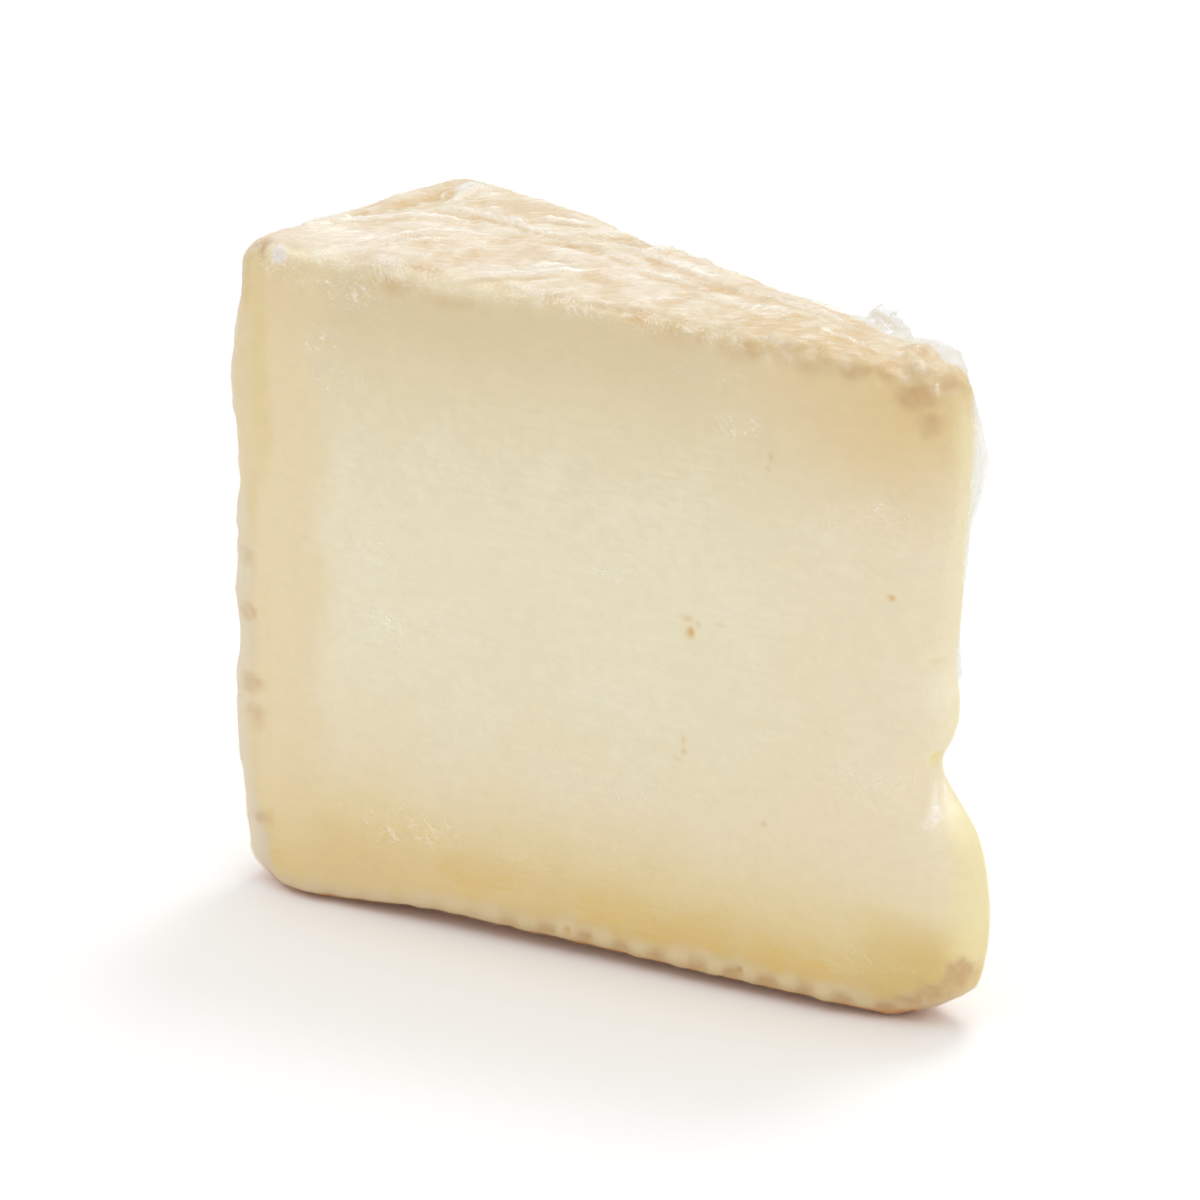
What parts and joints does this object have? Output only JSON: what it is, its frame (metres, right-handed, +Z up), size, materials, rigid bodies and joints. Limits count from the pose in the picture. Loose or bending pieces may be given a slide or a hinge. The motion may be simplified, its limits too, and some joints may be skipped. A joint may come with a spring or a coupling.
{
  "type": "cheese wedge",
  "caption": "Wedge of soft-ripened cheese cut from a thick wheel, with a pale paste, a wrinkled rind, a pinched nose and a tight clear film.",
  "frame": {"origin": "on the base, under the middle of the wedge's box", "axes": "+X along the wedge from the curved back rind to the tip, +Y across it, +Z up from the base rind to the top rind"},
  "size_m": [0.0886, 0.0348, 0.0723],
  "materials": {
    "cheese": "pale ivory paste, yellower towards the rind, with a cream and tan rind over the top, the base and the curved back",
    "film": "thin clear cling film, drawn tight over the cheese, with fine wrinkles"
  },
  "bodies": {
    "root": {"cheese_wedge": "cheese"}
  },
  "joints": []
}
